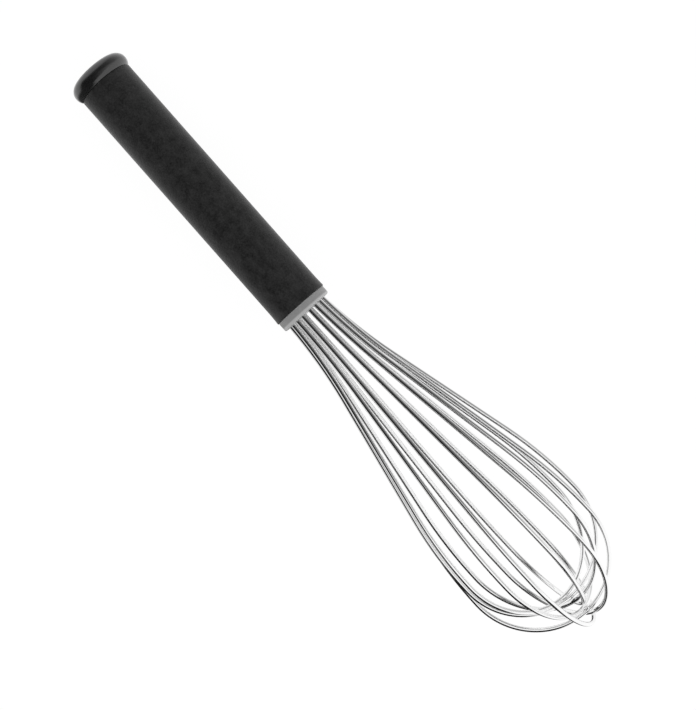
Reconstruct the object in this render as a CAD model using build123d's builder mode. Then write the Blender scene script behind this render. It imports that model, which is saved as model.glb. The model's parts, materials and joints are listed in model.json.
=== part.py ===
from build123d import *
import os
from math import asin, atan2, cos, hypot, radians, sin, sqrt

# A balloon whisk: a hollow black handle with a beaded end cap, a grey wire holder in its mouth,
# and eight wire loops that cross at the tip. It lies on a table along X, tip towards +X.
# Millimetres and degrees. The origin is on the table, under the middle of the whisk.

# Handle, a moulded tube that widens a little at its mouth
handle_length = 137.5
handle_diameter = 27.7
handle_wall = 2.05
mouth_flare = 0.25
mouth_length = 7.0
handle_edge = 0.4

# End cap, a plug with a fat rounded bead
cap_height = 8.4
bead_overhang = 1.35
cap_neck_step = 0.5
cap_face_inset = 3.25
bead_crest_share = 0.45
plug_length = 14.0
plug_wall = 3.0
plug_lead = 0.8

# Wire holder, a flanged disc with a hole for each leg of the wire
flange_inset = 0.3
flange_thickness = 4.45
flange_front_edge = 0.8
flange_back_edge = 0.4
spigot_length = 10.0
spigot_lead = 0.5
hole_wall = 0.51

# Resin that holds the tails of the wires inside the handle
resin_length = 17.0
tail_length = 23.0

# Wire loops, numbered from the innermost to the outermost
wire_diameter = 2.2
exit_angle = 3.4
flare_tangent = 21.0
belly_tangent = 21.0
belly_radius = 35.4
first_loop_length = 179.2
loop_step = 2.47
bundle_lean = 1.7
loop_azimuths = (150.5, 173.0, 39.0, 80.0, 126.5, 13.5, 59.5, 105.5)
loop_leans = (-0.3, 0.4, -0.3, 0.0, 0.6, -0.5, 0.8, 0.0)
loop_count = len(loop_azimuths)

# Running gaps between pieces that fit together
bore_clearance = 0.05
wire_clearance = 0.04
tail_end_clearance = 0.2

# How the whisk lies: on its bead and on one leg each of loops 4 and 8
rest_roll = -5.1
settling_rounds = 12

handle_radius = handle_diameter / 2
bore_radius = handle_radius - handle_wall
plug_radius = bore_radius - bore_clearance
bead_radius = handle_radius + bead_overhang
cap_face_radius = handle_radius - cap_face_inset
wire_radius = wire_diameter / 2
exit_radius = plug_radius - hole_wall - wire_clearance - wire_radius
last_loop_length = first_loop_length + (loop_count - 1) * loop_step
handle_back = -(flange_thickness + handle_length)
cap_back = handle_back - cap_height
bead_crest = handle_back - bead_crest_share * cap_height


def loop_length(number):
    """From the holder's face to the middle of the wire at the loop's tip."""
    return first_loop_length + (number - 1) * loop_step


def outline_points(number):
    """One half of a loop's centre line, as (distance from the axis, distance from the holder)."""
    exit_way = (sin(radians(exit_angle)), cos(radians(exit_angle)))
    belly = (belly_radius, loop_length(number) - belly_radius)
    low = (exit_radius + flare_tangent * exit_way[0], flare_tangent * exit_way[1])
    high = (belly_radius, belly[1] - belly_tangent)
    run = hypot(high[0] - low[0], high[1] - low[1])
    leg_way = ((high[0] - low[0]) / run, (high[1] - low[1]) / run)
    return {
        "tail": (exit_radius - tail_length * exit_way[0], -tail_length * exit_way[1]),
        "exit": (exit_radius, 0),
        "leg_start": (low[0] + flare_tangent * leg_way[0], low[1] + flare_tangent * leg_way[1]),
        "leg_end": (high[0] - belly_tangent * leg_way[0], high[1] - belly_tangent * leg_way[1]),
        "belly": belly,
        "tip": (0, loop_length(number)),
        "leg_way": leg_way,
    }


def lowest_of_leg(number, tilt):
    """How far a leg's belly bend reaches below the axis line, and where along the axis."""
    points = outline_points(number)
    half_turn = atan2(points["leg_way"][0], points["leg_way"][1]) / 2
    bend_radius = belly_tangent * cos(half_turn) / sin(half_turn)
    off_vertical = cos(radians(loop_azimuths[number - 1] + rest_roll - 90))
    down = sqrt(sin(tilt) ** 2 + (off_vertical * cos(tilt)) ** 2)
    centre = (belly_radius - bend_radius) * off_vertical * cos(tilt)
    distance = points["belly"][1]
    lean = radians(bundle_lean + loop_leans[number - 1])
    sideways = distance * sin(lean) * sin(radians(-rest_roll)) * cos(tilt)
    return centre + bend_radius * down + wire_radius + sideways, distance


def settled_tilt():
    """The slope at which the bead and the lowest leg both touch the table, in radians."""
    tilt = 0.0
    for _ in range(settling_rounds):
        lowest = [lowest_of_leg(number, tilt) for number in range(1, loop_count + 1)]
        tilt = max(asin((drop - bead_radius) / (distance - bead_crest)) for drop, distance in lowest)
    return tilt


rest_tilt = settled_tilt()
reach_forward = (last_loop_length + wire_radius) * cos(rest_tilt)
reach_back = -cap_back * cos(rest_tilt) + cap_face_radius * sin(rest_tilt)
holder_centre = Vector(
    (reach_back - reach_forward) / 2,
    -(first_loop_length - belly_radius) * sin(radians(bundle_lean)),
    bead_radius - bead_crest * sin(rest_tilt),
)

# Every piece is drawn from this plane: its origin is the middle of the holder's face,
# its Z runs along the handle towards the tip
whisk = Plane(holder_centre, x_dir=(0, 1, 0), z_dir=(cos(rest_tilt), 0, sin(rest_tilt)))
whisk = Plane(whisk * Rotation(0, 0, rest_roll))
whisk_axis = Axis(whisk.origin, whisk.z_dir)
# Outlines of the turned pieces: X is the distance from the axis, Y the place along it
outline_plane = Plane(whisk.origin, x_dir=whisk.x_dir, z_dir=-whisk.y_dir)
# The face of the holder stands square to the wires, which lean a little to one side
bundle = Plane(whisk * Rotation(0, bundle_lean, 0))


def loop_plane(number):
    """The flat plane of one loop: X is the distance from its axis, Y the place along it."""
    leaning = Rotation(0, bundle_lean + loop_leans[number - 1], 0)
    frame = Plane(whisk * leaning * Rotation(0, 0, loop_azimuths[number - 1]))
    return Plane(frame.origin, x_dir=frame.x_dir, z_dir=-frame.y_dir)


def tail_planes():
    """A plane at each of the places where a leg leaves the holder, square to the leg."""
    planes = []
    for number in range(1, loop_count + 1):
        flat = loop_plane(number)
        points = outline_points(number)
        for side in (1, -1):
            start = flat.from_local_coords((side * points["exit"][0], points["exit"][1], 0))
            tail = flat.from_local_coords((side * points["tail"][0], points["tail"][1], 0))
            planes.append(Plane(start, z_dir=start - tail))
    return planes


os.makedirs("parts", exist_ok=True)

# Handle
with BuildPart() as handle:
    with BuildSketch(outline_plane):
        with BuildLine():
            bore, body, mouth = bore_radius, handle_radius, handle_radius + mouth_flare
            front = -flange_thickness
            Polyline((bore, front), (bore, handle_back), (body, handle_back), (body, front - mouth_length))
            TangentArc((body, front - mouth_length), (mouth, front), tangent=(0, 1))
            Line((mouth, front), (bore, front))
        make_face()
    revolve(axis=whisk_axis)
    ends = handle.edges().filter_by(GeomType.CIRCLE).group_by(whisk_axis)
    outer_edges = [ends[0].sort_by(SortBy.RADIUS)[-1], ends[-1].sort_by(SortBy.RADIUS)[-1]]
    fillet(outer_edges, handle_edge)
handle.part.label = "handle"
export_step(handle.part, "parts/handle.step")

# End cap
with BuildPart() as end_cap:
    with BuildSketch(outline_plane):
        with BuildLine():
            neck = (handle_radius - cap_neck_step, handle_back)
            crest = (bead_radius, bead_crest)
            face = (cap_face_radius, cap_back)
            plug = plug_radius
            plug_tip = handle_back + plug_length
            Line((0, cap_back), face)
            TangentArc(crest, face, tangent=(0, -1))
            TangentArc(crest, neck, tangent=(0, 1))
            Polyline(neck, (plug, handle_back), (plug, plug_tip - plug_lead), (plug - plug_lead, plug_tip))
            Polyline((plug - plug_lead, plug_tip), (plug - plug_wall, plug_tip), (plug - plug_wall, handle_back))
            Polyline((plug - plug_wall, handle_back), (0, handle_back), (0, cap_back))
        make_face()
    revolve(axis=whisk_axis)
end_cap.part.label = "end_cap"
export_step(end_cap.part, "parts/end_cap.step")

# The holes that take the tails of the wires, to be cut from the holder and the resin
with BuildPart() as tail_holes:
    with BuildSketch(*tail_planes()):
        Circle(wire_radius + wire_clearance)
    extrude(amount=tail_length + tail_end_clearance, both=True)

# Wire holder, turned long in front and then faced off square to the wires
with BuildPart() as wire_holder:
    with BuildSketch(outline_plane):
        with BuildLine():
            rim, back = handle_radius - flange_inset, -flange_thickness
            spigot = plug_radius
            inner = back - spigot_length
            Polyline((0, flange_thickness), (rim, flange_thickness), (rim, back), (spigot, back))
            Polyline((spigot, back), (spigot, inner + spigot_lead), (spigot - spigot_lead, inner))
            Polyline((spigot - spigot_lead, inner), (0, inner), (0, flange_thickness))
        make_face()
    revolve(axis=whisk_axis)
    split(bisect_by=bundle, keep=Keep.BOTTOM)
    rim_edges = wire_holder.faces().filter_by(GeomType.CYLINDER).sort_by(SortBy.RADIUS)[-1].edges()
    rim_edges = rim_edges.filter_by(GeomType.LINE, reverse=True).sort_by(whisk_axis)
    fillet(rim_edges[-1], flange_front_edge)
    fillet(wire_holder.edges().filter_by(GeomType.CIRCLE).sort_by(SortBy.RADIUS)[-1], flange_back_edge)
    add(tail_holes.part, mode=Mode.SUBTRACT)
wire_holder.part.label = "wire_holder"
export_step(wire_holder.part, "parts/wire_holder.step")

# Resin core
with BuildPart() as resin_core:
    with BuildSketch(outline_plane):
        front = -(flange_thickness + spigot_length)
        with Locations((0, front - resin_length)):
            Rectangle(plug_radius, resin_length, align=Align.MIN)
    revolve(axis=whisk_axis)
    add(tail_holes.part, mode=Mode.SUBTRACT)
resin_core.part.label = "resin_core"
export_step(resin_core.part, "parts/resin_core.step")


# Wire loops
def wire_loop(number):
    """One wire, bent in its own plane from tail to tail."""
    points = outline_points(number)

    def at(name, side):
        return (side * points[name][0], points[name][1])

    with BuildPart() as loop:
        with BuildLine(loop_plane(number)) as path:
            for side in (1, -1):
                tail = Line(at("tail", side), at("exit", side))
                TangentArc(at("exit", side), at("leg_start", side), tangent=tail % 1)
                leg = Line(at("leg_start", side), at("leg_end", side))
                TangentArc(at("leg_end", side), at("belly", side), tangent=leg % 1)
            ThreePointArc(at("belly", 1), at("tip", 1), at("belly", -1))
        wire = path.wire()
        with BuildSketch(Plane(wire @ 0, z_dir=wire % 0)):
            Circle(wire_radius)
        sweep(path=wire)
    return loop


for number in range(1, loop_count + 1):
    loop = wire_loop(number)
    loop.part.label = f"wire_loop_{number}"
    export_step(loop.part, f"parts/wire_loop_{number}.step")
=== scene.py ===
import json
from math import atan2, cos, hypot, pi, radians, sin, tan

import bmesh
import bpy
from mathutils import Matrix, Vector


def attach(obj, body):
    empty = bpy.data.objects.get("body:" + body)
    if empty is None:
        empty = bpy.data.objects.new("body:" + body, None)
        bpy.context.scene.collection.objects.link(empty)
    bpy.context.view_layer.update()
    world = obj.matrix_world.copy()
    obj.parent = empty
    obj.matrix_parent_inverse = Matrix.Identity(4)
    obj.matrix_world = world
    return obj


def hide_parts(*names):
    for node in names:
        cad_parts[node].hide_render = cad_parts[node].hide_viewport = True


# A balloon whisk lying on a white table: black moulded handle with a beaded end cap, grey wire
# holder, and eight loops of bright spring wire. Lengths are in metres and angles in degrees.
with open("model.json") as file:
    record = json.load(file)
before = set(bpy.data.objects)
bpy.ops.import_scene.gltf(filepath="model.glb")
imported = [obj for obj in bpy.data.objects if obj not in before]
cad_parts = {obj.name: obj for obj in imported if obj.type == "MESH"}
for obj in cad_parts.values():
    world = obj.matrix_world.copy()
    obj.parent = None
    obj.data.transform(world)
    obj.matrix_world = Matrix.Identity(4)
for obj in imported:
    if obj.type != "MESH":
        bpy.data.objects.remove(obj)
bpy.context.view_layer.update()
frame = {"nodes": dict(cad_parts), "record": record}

# Handle and end cap
handle_length = 0.1375
handle_radius = 0.01385
handle_wall = 0.00205
mouth_flare = 0.00025
mouth_length = 0.007
handle_edge = 0.0004
cap_height = 0.0084
bead_overhang = 0.00135
cap_neck_step = 0.0005
cap_face_inset = 0.00325
bead_crest_share = 0.45
cap_face_edge = 0.0005
plug_length = 0.014
plug_wall = 0.003
bore_clearance = 0.00005

# Wire holder
flange_thickness = 0.00445

# Wire loops, innermost first
wire_radius = 0.0011
exit_radius = 0.0101
exit_angle = 3.4
tail_length = 0.023
flare_tangent = 0.021
belly_tangent = 0.021
belly_radius = 0.0354
first_loop_length = 0.1792
loop_step = 0.00247
bundle_lean = 1.7
loop_azimuths = (150.5, 173.0, 39.0, 80.0, 126.5, 13.5, 59.5, 105.5)
loop_leans = (-0.3, 0.4, -0.3, 0.0, 0.6, -0.5, 0.8, 0.0)

# How fine the meshes are
handle_sides = 160
bead_steps = 14
flare_steps = 6
edge_segments = 3
wire_sides = 32
flare_rings = 8
belly_rings = 8
tip_rings = 56
merge_distance = 0.000004
sharp_from = 40

# How the whisk lies, and where it is seen from
rest_roll = -5.1
picture_side = 710
focal_pixels = 1600
sensor_size = 36.0
view_distance = 0.7488
view_along = 0.0277
view_sideways = 0.00107
view_slope = 0.24
picture_turn = 48.585
nearest_seen = 0.01
farthest_seen = 50

# Noise: where the grain and the streaks are at their least and their most
noise_range = (0.3, 0.7)
grain_detail = 3.0
mottle_detail = 4.0
speckle_share = 0.5
bloom_roughness = 0.4

# Painted highlights: paler bands along the two rounded edges of the holder's rim, by height from its
# face
front_edge_painted_highlight = (-0.0017, -0.0009)
back_edge_painted_highlight = (-0.0039, -0.0043)
painted_highlight_tone = 0.46

# Polished wire: streaks round the wire, and for each metre along it
streak_scale = (9.0, 40.0, 1.0)
streak_detail = 4.0
wire_tone = (0.86, 0.9)
wire_roughness = (0.05, 0.07)

# Resin
resin_dark = (0.36, 0.24, 0.08, 1)
resin_pale = (0.52, 0.38, 0.16, 1)
resin_roughness = 0.25
resin_grain = 0.0005
resin_mottle = 0.004

# Studio light, mirrored in the wires: (degrees round the whisk from straight up, brightness)
light_over_handle = ((-180, 1.0), (-174, 1.0), (-168, 0.015), (-18, 0.02), (10, 0.06), (34, 0.13),
                     (58, 0.24), (85, 0.42), (105, 0.7), (125, 0.95), (180, 1.0))
light_over_tip = ((-180, 1.0), (-174, 1.0), (-168, 0.015), (-25, 0.015), (0, 0.1), (30, 0.4),
                  (56, 0.6), (85, 0.45), (98, 1.0), (180, 1.0))
overhead_edge = (-0.16, 0.02)
brightest_light = 1.1

# Dark part of the low light from -Y, the left of the picture: (degrees towards +X, share lit)
dark_side = ((-180, 1.0), (-8, 1.0), (8, 0.0), (60, 0.0), (78, 1.0), (180, 1.0))
dark_side_start = (0.0, 0.2)
dark_side_top = (0.3, 0.0)
light_past_dark = 1.0

# Lit walls past the handle and past the tip, the second one turned towards +Y
wall_light = 1.1
wall_edge = (-0.62, -0.9)
tip_wall_edge = (0.55, 0.8)
tip_wall_turn = 0.6

# Even light that the matt surfaces get, the backdrop and the table
even_light = 0.95
even_share = 0.75
backdrop_grey = 0.98
table_grey = 0.08
table_glow = 0.95
table_roughness = 0.9
table_reach = 4.0

# Softbox over the wires: it starts over the holder and is turned from the whisk's length
softbox_turn = 31
softbox_length = 0.9
softbox_left = 0.24
softbox_right = 0.06
softbox_height = 0.28
softbox_fade = 0.05
softbox_light = 1.1

mounts = {mount["name"]: mount for mount in frame["record"]["mounts"]}
along = -Vector(mounts["cap_end"]["axis"]).normalized()
sideways = Matrix.Rotation(radians(rest_roll), 3, along) @ Vector((0, 1, 0))
outwards = along.cross(sideways)
handle_back = -(flange_thickness + handle_length)
cap_back = handle_back - cap_height
bead_crest = handle_back - bead_crest_share * cap_height
holder_face = Vector(mounts["cap_end"]["pos_m"]) - along * cap_back

# From the whisk's own frame to the shared frame: Z runs from the handle to the tip, and the
# origin is the middle of the holder's face
whisk = Matrix.Translation(holder_face) @ Matrix((sideways, outwards, along)).transposed().to_4x4()


def new_thing(name, bm):
    """An object of the finished mesh."""
    mesh = bpy.data.meshes.new(name)
    bm.to_mesh(mesh)
    bm.free()
    thing = bpy.data.objects.new(name, mesh)
    bpy.context.scene.collection.objects.link(thing)
    return thing


def new_piece(name, bm, slot, *nodes):
    """Makes the finished mesh a piece of the whisk that stands for the given CAD nodes."""
    piece = new_thing(name, bm)
    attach(piece, "root")
    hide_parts(*nodes)
    return piece


def arc_from_crest(crest, end, steps):
    """Points of the arc that leaves the bead's crest along the axis and ends at the given point."""
    drop, run = crest[0] - end[0], end[1] - crest[1]
    radius = (drop ** 2 + run ** 2) / (2 * drop)
    turn = atan2(abs(run), radius - drop)
    way = 1 if run > 0 else -1
    points = []
    for step in range(1, steps + 1):
        angle = turn * step / steps
        points.append((crest[0] - radius * (1 - cos(angle)), crest[1] + way * radius * sin(angle)))
    return points


def turned(profile, rims, rim_radius):
    """A solid turned about the whisk's axis from (radius, place) points, with its rims rounded."""
    bm = bmesh.new()
    points = [bm.verts.new((radius, 0, place)) for radius, place in profile]
    outline = [bm.edges.new(pair) for pair in zip(points, points[1:] + points[:1])]
    bmesh.ops.spin(bm, geom=points + outline, cent=(0, 0, 0), axis=(0, 0, 1), angle=2 * pi,
                   steps=handle_sides, use_merge=True)
    bmesh.ops.remove_doubles(bm, verts=bm.verts, dist=merge_distance)
    loose = [edge for edge in bm.edges if not edge.link_faces]
    bmesh.ops.delete(bm, geom=loose, context="EDGES")
    bmesh.ops.recalc_face_normals(bm, faces=bm.faces)
    for radius, place in rims:
        rim = [edge for edge in bm.edges
               if all(distance_to_rim(vert, radius, place) < rim_radius / 4 for vert in edge.verts)]
        bmesh.ops.bevel(bm, geom=rim, offset=rim_radius, affect="EDGES", segments=edge_segments,
                        profile=0.5, material=-1)
    for face in bm.faces:
        face.smooth = True
    for edge in bm.edges:
        if len(edge.link_faces) == 2 and edge.calc_face_angle() > radians(sharp_from):
            edge.smooth = False
    bm.transform(whisk)
    return bm


def distance_to_rim(vert, radius, place):
    return hypot(hypot(vert.co.x, vert.co.y) - radius, vert.co.z - place)


def make_handle():
    body, bore, front = handle_radius, handle_radius - handle_wall, -flange_thickness
    flare = []
    for step in range(flare_steps + 1):
        share = step / flare_steps
        flare.append((body + mouth_flare * share ** 2, front - mouth_length * (1 - share)))
    profile = [(bore, front), (bore, handle_back), (body, handle_back), *flare]
    rims = [(body, handle_back), (body + mouth_flare, front)]
    return new_piece("handle_tube", turned(profile, rims, handle_edge), "handle_black", "handle")


def make_end_cap():
    crest = (handle_radius + bead_overhang, bead_crest)
    neck = (handle_radius - cap_neck_step, handle_back)
    face = (handle_radius - cap_face_inset, cap_back)
    plug = handle_radius - handle_wall - bore_clearance
    tip, inner = handle_back + plug_length, plug - plug_wall
    profile = [(0, cap_back), *reversed(arc_from_crest(crest, face, bead_steps)), crest,
               *arc_from_crest(crest, neck, bead_steps), (plug, handle_back), (plug, tip), (inner, tip),
               (inner, handle_back), (0, handle_back)]
    return new_piece("cap_bead", turned(profile, [face], cap_face_edge), "cap_black", "end_cap")


class Wire:
    """A wire that is bent step by step in its own plane, where X is the distance from the axis."""

    def __init__(self, start, heading):
        self.bm = bmesh.new()
        self.place, self.heading, self.run_so_far = Vector(start), heading, 0.0
        stand = Matrix.Translation(self.place) @ Matrix.Rotation(heading, 4, "Y")
        made = bmesh.ops.create_circle(self.bm, cap_ends=True, segments=wire_sides,
                                       radius=wire_radius, matrix=stand)
        self.ring = list({edge for vert in made["verts"] for edge in vert.link_edges})
        self.rings = [(self.run_so_far, self.place.copy(), heading)]

    def way(self):
        return Vector((sin(self.heading), 0, cos(self.heading)))

    def note_ring(self, length):
        self.run_so_far += length
        self.rings.append((self.run_so_far, self.place.copy(), self.heading))

    def straight(self, length):
        made = bmesh.ops.extrude_edge_only(self.bm, edges=self.ring)["geom"]
        bmesh.ops.translate(self.bm, verts=[g for g in made if isinstance(g, bmesh.types.BMVert)],
                            vec=self.way() * length)
        self.ring = [g for g in made if isinstance(g, bmesh.types.BMEdge)]
        self.place += self.way() * length
        self.note_ring(length)

    def bend(self, turn, radius, steps):
        """Turns the wire, away from the axis where turn is positive."""
        side = 1 if turn > 0 else -1
        centre = self.place + Vector((cos(self.heading), 0, -sin(self.heading))) * side * radius
        geom = self.ring + list({vert for edge in self.ring for vert in edge.verts})
        made = bmesh.ops.spin(self.bm, geom=geom, cent=centre, axis=(0, 1, 0), angle=turn, steps=steps)
        self.ring = [g for g in made["geom_last"] if isinstance(g, bmesh.types.BMEdge)]
        for _ in range(steps):
            self.place = centre + Matrix.Rotation(turn / steps, 3, "Y") @ (self.place - centre)
            self.heading += turn / steps
            self.note_ring(abs(turn) * radius / steps)

    def finish(self):
        """Closes the end and lays a UV map on the wire: once round it, and metres along it."""
        bmesh.ops.contextual_create(self.bm, geom=self.ring)
        bmesh.ops.recalc_face_normals(self.bm, faces=self.bm.faces)
        self.bm.verts.index_update()
        uv = self.bm.loops.layers.uv.new("UVMap")
        for face in self.bm.faces:
            face.smooth = len(face.verts) == 4
            corners = [self.round_and_along(loop.vert) for loop in face.loops]
            most = max(corner[0] for corner in corners)
            for loop, (turns, length) in zip(face.loops, corners):
                loop[uv].uv = (turns + 1 if most - turns > 0.5 else turns, length)
        return self.bm

    def round_and_along(self, vert):
        length, centre, heading = self.rings[vert.index // wire_sides]
        offset = vert.co - centre
        outward = offset.x * cos(heading) - offset.z * sin(heading)
        return atan2(offset.y, outward) / (2 * pi) % 1, length


def make_wire_loop(number):
    start_heading = radians(exit_angle)
    tail = (exit_radius - tail_length * sin(start_heading), 0, -tail_length * cos(start_heading))
    low = (exit_radius + flare_tangent * sin(start_heading), flare_tangent * cos(start_heading))
    loop_length = first_loop_length + (number - 1) * loop_step
    high = (belly_radius, loop_length - belly_radius - belly_tangent)
    leg_heading = atan2(high[0] - low[0], high[1] - low[1])
    leg_length = hypot(high[0] - low[0], high[1] - low[1]) - flare_tangent - belly_tangent
    flare = leg_heading - start_heading
    flare_bend = (flare, flare_tangent / tan(flare / 2), flare_rings)
    belly_bend = (-leg_heading, belly_tangent / tan(leg_heading / 2), belly_rings)

    wire = Wire(tail, start_heading)
    wire.straight(tail_length)
    wire.bend(*flare_bend)
    wire.straight(leg_length)
    wire.bend(*belly_bend)
    wire.bend(-pi, belly_radius, tip_rings)
    wire.bend(*belly_bend)
    wire.straight(leg_length)
    wire.bend(*flare_bend)
    wire.straight(tail_length)
    bm = wire.finish()

    lean = Matrix.Rotation(radians(bundle_lean + loop_leans[number - 1]), 4, "Y")
    azimuth = Matrix.Rotation(radians(loop_azimuths[number - 1]), 4, "Z")
    bm.transform(whisk @ lean @ azimuth)
    return new_piece(f"bright_wire_{number}", bm, "wire_steel", f"wire_loop_{number}")


def new_material(name):
    material = bpy.data.materials.new(name)
    material.use_nodes = True
    return material, material.node_tree, material.node_tree.nodes["Principled BSDF"]


def set_or_link(tree, socket, value):
    if isinstance(value, bpy.types.NodeSocket):
        tree.links.new(value, socket)
    else:
        socket.default_value = value


def add_node(tree, kind, settings=None, **inputs):
    """A node with its settings, and its inputs set or linked. Input names hold _ for a space."""
    node = tree.nodes.new(kind)
    for key, value in (settings or {}).items():
        setattr(node, key, value)
    for key, value in inputs.items():
        set_or_link(tree, node.inputs[key.replace("_", " ")], value)
    return node


def maths(tree, operation, *values):
    node = add_node(tree, "ShaderNodeMath", {"operation": operation})
    for socket, value in zip(node.inputs, values):
        set_or_link(tree, socket, value)
    return node.outputs["Value"]


def grey(level):
    return level, level, level, 1


def mixed(tree, factor, first, second):
    """A colour that goes from the first to the second as the factor goes from 0 to 1."""
    mix = add_node(tree, "ShaderNodeMix", {"data_type": "RGBA"}, Factor=factor, A=first, B=second)
    return mix.outputs["Result"]


def ramp(tree, factor, stops):
    """A colour ramp of greys: stops are (place, grey)."""
    node = add_node(tree, "ShaderNodeValToRGB", Fac=factor)
    elements = node.color_ramp.elements
    for index, (place, level) in enumerate(stops):
        element = elements[index] if index < 2 else elements.new(place)
        element.position, element.color = place, grey(level)
    return node.outputs["Color"]


def angle_ramp(tree, factor, stops, full=brightest_light):
    """Light by an angle: stops are (degrees, brightness)."""
    return ramp(tree, factor, [((degrees + 180) / 360, light / full) for degrees, light in stops])


def angle_between(tree, opposite, adjacent):
    """The angle of two parts of a direction, from 0 to 1 for -180 to 180 degrees."""
    angle = maths(tree, "ARCTAN2", opposite, adjacent)
    share = add_node(tree, "ShaderNodeMapRange", Value=angle, From_Min=-pi, From_Max=pi)
    return share.outputs["Result"]


def smooth_step(tree, value, edge):
    """Goes softly from 0 to 1 as the value goes from one end of the edge to the other."""
    step = add_node(tree, "ShaderNodeMapRange", {"interpolation_type": "SMOOTHSTEP"}, Value=value,
                    From_Min=edge[0], From_Max=edge[1])
    return step.outputs["Result"]


def across_noise(tree, noise, values):
    """A value that follows the noise from the first to the second of the given values."""
    least, most = noise_range
    spread = add_node(tree, "ShaderNodeMapRange", Value=noise, From_Min=least, From_Max=most,
                      To_Min=values[0], To_Max=values[1])
    return spread.outputs["Result"]


def tone_across_noise(tree, noise, tones):
    return ramp(tree, noise, list(zip(noise_range, tones)))


def new_group(name, inputs, outputs):
    """A shader node group: inputs are (name, default) values, outputs are names of values."""
    group = bpy.data.node_groups.new(name, "ShaderNodeTree")
    for label, value in inputs:
        socket = group.interface.new_socket(label, in_out="INPUT", socket_type="NodeSocketFloat")
        socket.default_value = value
    for label in outputs:
        group.interface.new_socket(label, in_out="OUTPUT", socket_type="NodeSocketFloat")
    return group, group.nodes.new("NodeGroupInput"), group.nodes.new("NodeGroupOutput")


def make_moulded_grain():
    """Fine satin grain of moulded plastic, and the slow mottle of its tone."""
    sizes = [("Grain Size", 0.0004), ("Mottle Size", 0.006)]
    group, given, result = new_group("moulded_grain", sizes, ["Height", "Mottle"])
    place = add_node(group, "ShaderNodeTexCoord").outputs["Object"]
    for size, output, detail in (("Grain Size", "Height", grain_detail),
                                 ("Mottle Size", "Mottle", mottle_detail)):
        scale = maths(group, "DIVIDE", 1.0, given.outputs[size])
        noise = add_node(group, "ShaderNodeTexNoise", Vector=place, Scale=scale, Detail=detail)
        group.links.new(noise.outputs["Fac"], result.inputs[output])


def grain(tree, grain_size, mottle_size):
    node = tree.nodes.new("ShaderNodeGroup")
    node.node_tree = bpy.data.node_groups["moulded_grain"]
    node.inputs["Grain Size"].default_value = grain_size
    node.inputs["Mottle Size"].default_value = mottle_size
    return node.outputs["Height"], node.outputs["Mottle"]


def plastic(name, tone, roughness, shine, grain_size, mottle_size, bump, bloom=0.0):
    """Moulded plastic: tone and roughness are the (least, most) of the mottle."""
    material, tree, shader = new_material(name)
    height, mottle = grain(tree, grain_size, mottle_size)
    speckled = add_node(tree, "ShaderNodeMix", {"data_type": "FLOAT"}, Factor=speckle_share,
                        A=mottle, B=height)
    colour = tone_across_noise(tree, speckled.outputs["Result"], tone)
    relief = add_node(tree, "ShaderNodeBump", Height=height, Distance=bump, Strength=1.0)
    tree.links.new(colour, shader.inputs["Base Color"])
    tree.links.new(across_noise(tree, mottle, roughness), shader.inputs["Roughness"])
    tree.links.new(relief.outputs["Normal"], shader.inputs["Normal"])
    shader.inputs["Specular IOR Level"].default_value = shine
    shader.inputs["Sheen Weight"].default_value = bloom
    shader.inputs["Sheen Roughness"].default_value = bloom_roughness
    return material


def holder_plastic():
    """The grey of the wire holder, with painted highlights: paler bands along the two rounded edges of
    its rim.
    """
    material = plastic("grey_plastic", tone=(0.24, 0.28), roughness=(0.4, 0.5), shine=0.4,
                       grain_size=0.0003, mottle_size=0.003, bump=0.00003)
    tree = material.node_tree
    shader = tree.nodes["Principled BSDF"]
    place = add_node(tree, "ShaderNodeTexCoord").outputs["Object"]
    from_face = add_node(tree, "ShaderNodeVectorMath", {"operation": "SUBTRACT"})
    tree.links.new(place, from_face.inputs[0])
    from_face.inputs[1].default_value = holder_face
    height = add_node(tree, "ShaderNodeVectorMath", {"operation": "DOT_PRODUCT"})
    tree.links.new(from_face.outputs["Vector"], height.inputs[0])
    height.inputs[1].default_value = along
    colour = shader.inputs["Base Color"].links[0].from_socket
    # Painted highlights: the base colour turns paler in a band along each rounded edge of the rim, where
    # the edge would catch the light.
    for edge in (front_edge_painted_highlight, back_edge_painted_highlight):
        painted_highlight_share = smooth_step(tree, height.outputs["Value"], edge)
        colour = mixed(tree, painted_highlight_share, colour, grey(painted_highlight_tone))
    tree.links.new(colour, shader.inputs["Base Color"])
    return material


def bright_wire():
    """Polished drawn steel: faint streaks run along the wire in its tone and roughness."""
    material, tree, shader = new_material("polished_spring_wire")
    uv = add_node(tree, "ShaderNodeTexCoord").outputs["UV"]
    stretched = add_node(tree, "ShaderNodeMapping", Vector=uv, Scale=streak_scale).outputs["Vector"]
    noise = add_node(tree, "ShaderNodeTexNoise", Vector=stretched, Scale=1.0, Detail=streak_detail)
    streaks = noise.outputs["Fac"]
    tree.links.new(tone_across_noise(tree, streaks, wire_tone), shader.inputs["Base Color"])
    tree.links.new(across_noise(tree, streaks, wire_roughness), shader.inputs["Roughness"])
    shader.inputs["Metallic"].default_value = 1.0
    return material


def cured_resin():
    material, tree, shader = new_material("cured_resin")
    _, mottle = grain(tree, resin_grain, resin_mottle)
    tree.links.new(mixed(tree, mottle, resin_dark, resin_pale), shader.inputs["Base Color"])
    shader.inputs["Roughness"].default_value = resin_roughness
    return material


def wear(thing, material):
    """Gives a piece or a CAD node its one material."""
    thing.data.materials.clear()
    thing.data.materials.append(material)


def make_materials():
    make_moulded_grain()
    return {
        "handle": plastic("satin_black_plastic", tone=(0.006, 0.033), roughness=(0.45, 0.52), shine=0.15,
                          grain_size=0.0009, mottle_size=0.004, bump=0.00012, bloom=0.2),
        "cap": plastic("smooth_black_plastic", tone=(0.007, 0.012), roughness=(0.16, 0.22), shine=0.8,
                       grain_size=0.0004, mottle_size=0.006, bump=0.00002, bloom=0.15),
        "holder": holder_plastic(),
        "resin": cured_resin(),
        "wire": bright_wire(),
    }


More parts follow.
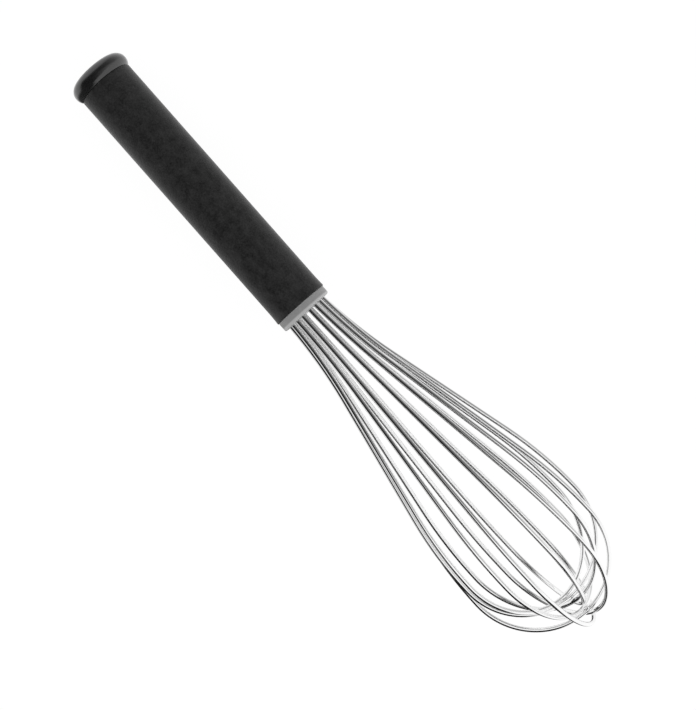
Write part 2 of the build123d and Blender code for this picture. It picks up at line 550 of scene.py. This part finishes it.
def make_camera():
    """Looks square down on the whisk, with the handle up and to the left."""
    slope = Matrix.Rotation(radians(-view_slope), 3, sideways)
    back, tipwards = slope @ outwards, slope @ along
    turn = radians(picture_turn)
    right = tipwards * cos(turn) + sideways * sin(turn)
    up = sideways * cos(turn) - tipwards * sin(turn)
    camera = bpy.data.objects.new("camera", bpy.data.cameras.new("camera"))
    bpy.context.scene.collection.objects.link(camera)
    aim = holder_face + along * view_along + sideways * view_sideways
    turned_to = Matrix((right, up, back)).transposed().to_4x4()
    camera.matrix_world = Matrix.Translation(aim + back * view_distance) @ turned_to
    camera.data.sensor_width = sensor_size
    camera.data.lens = focal_pixels / picture_side * sensor_size
    camera.data.clip_start, camera.data.clip_end = nearest_seen, farthest_seen
    bpy.context.scene.camera = camera


def make_floor():
    """A white table that glows like a lit photo table, and isn't mirrored in the polished wire."""
    bm = bmesh.new()
    bmesh.ops.create_grid(bm, x_segments=1, y_segments=1, size=table_reach)
    floor = new_thing("table_top", bm)
    material, _, shader = new_material("pale_table")
    shader.inputs["Base Color"].default_value = grey(table_grey)
    shader.inputs["Roughness"].default_value = table_roughness
    shader.inputs["Specular IOR Level"].default_value = 0.0
    shader.inputs["Emission Color"].default_value = grey(1)
    shader.inputs["Emission Strength"].default_value = table_glow
    wear(floor, material)
    floor.visible_glossy = False


def make_softbox():
    """A soft panel over the wires, seen in their polish only, that fades out at its edges."""
    bm = bmesh.new()
    width = softbox_left + softbox_right
    size = Matrix.Diagonal((softbox_length, width, 1, 1))
    bmesh.ops.create_grid(bm, x_segments=1, y_segments=1, size=0.5, matrix=size)
    softbox = new_thing("softbox", bm)
    corner = Matrix.Translation((holder_face.x, holder_face.y, softbox_height))
    middle = Matrix.Translation((softbox_length / 2, (softbox_right - softbox_left) / 2, 0))
    softbox.matrix_world = corner @ Matrix.Rotation(radians(softbox_turn), 4, "Z") @ middle

    material, tree, shader = new_material("softbox_cloth")
    place = add_node(tree, "ShaderNodeTexCoord").outputs["Object"]
    parts = add_node(tree, "ShaderNodeSeparateXYZ", Vector=place).outputs
    fades = []
    for part, half in ((parts["X"], softbox_length / 2), (parts["Y"], width / 2)):
        fades.append(smooth_step(tree, maths(tree, "ABSOLUTE", part), (half, half - softbox_fade)))
    glow = add_node(tree, "ShaderNodeEmission", Strength=softbox_light)
    clear = tree.nodes.new("ShaderNodeBsdfTransparent")
    blend = tree.nodes.new("ShaderNodeMixShader")
    tree.links.new(maths(tree, "MULTIPLY", *fades), blend.inputs["Fac"])
    tree.links.new(clear.outputs["BSDF"], blend.inputs[1])
    tree.links.new(glow.outputs["Emission"], blend.inputs[2])
    tree.links.new(blend.outputs["Shader"], tree.nodes["Material Output"].inputs["Surface"])
    tree.nodes.remove(shader)
    wear(softbox, material)
    softbox.visible_camera = False
    softbox.visible_shadow = False


def make_studio():
    """Soft light from all round, with a dark left side that draws the edges of the wires."""
    world = bpy.data.worlds.new("studio")
    bpy.context.scene.world = world
    world.use_nodes = True
    tree = world.node_tree
    direction = add_node(tree, "ShaderNodeTexCoord").outputs["Generated"]
    parts = add_node(tree, "ShaderNodeSeparateXYZ", Vector=direction).outputs
    ahead, sideward, up = parts["X"], parts["Y"], parts["Z"]

    round_whisk = angle_between(tree, sideward, up)
    over_handle = angle_ramp(tree, round_whisk, light_over_handle)
    over_tip = angle_ramp(tree, round_whisk, light_over_tip)
    lit = mixed(tree, smooth_step(tree, ahead, overhead_edge), over_handle, over_tip)

    to_left = maths(tree, "MULTIPLY", sideward, -1.0)
    past_dark = angle_ramp(tree, angle_between(tree, ahead, to_left), dark_side, 1.0)
    left = smooth_step(tree, to_left, dark_side_start)
    low = smooth_step(tree, up, dark_side_top)
    lighter = maths(tree, "MULTIPLY", maths(tree, "MULTIPLY", past_dark, left), low)
    lit = mixed(tree, lighter, lit, grey(light_past_dark / brightest_light))

    to_tip_wall = maths(tree, "MULTIPLY_ADD", sideward, tip_wall_turn, ahead)
    for place, edge in ((ahead, wall_edge), (to_tip_wall, tip_wall_edge)):
        lit = mixed(tree, smooth_step(tree, place, edge), lit, grey(wall_light / brightest_light))

    path = add_node(tree, "ShaderNodeLightPath").outputs
    even = maths(tree, "MULTIPLY", path["Is Diffuse Ray"], even_share)
    lit = mixed(tree, even, lit, grey(even_light / brightest_light))
    seen = mixed(tree, path["Is Camera Ray"], lit, grey(backdrop_grey / brightest_light))
    background = tree.nodes["Background"]
    tree.links.new(seen, background.inputs["Color"])
    background.inputs["Strength"].default_value = brightest_light


finishes = make_materials()
make_camera()
make_floor()
make_softbox()
make_studio()
bpy.context.scene.view_settings.view_transform = "Standard"

wear(make_handle(), finishes["handle"])
wear(make_end_cap(), finishes["cap"])
for loop_number in range(1, len(loop_azimuths) + 1):
    wear(make_wire_loop(loop_number), finishes["wire"])
wear(frame["nodes"]["wire_holder"], finishes["holder"])
wear(frame["nodes"]["resin_core"], finishes["resin"])
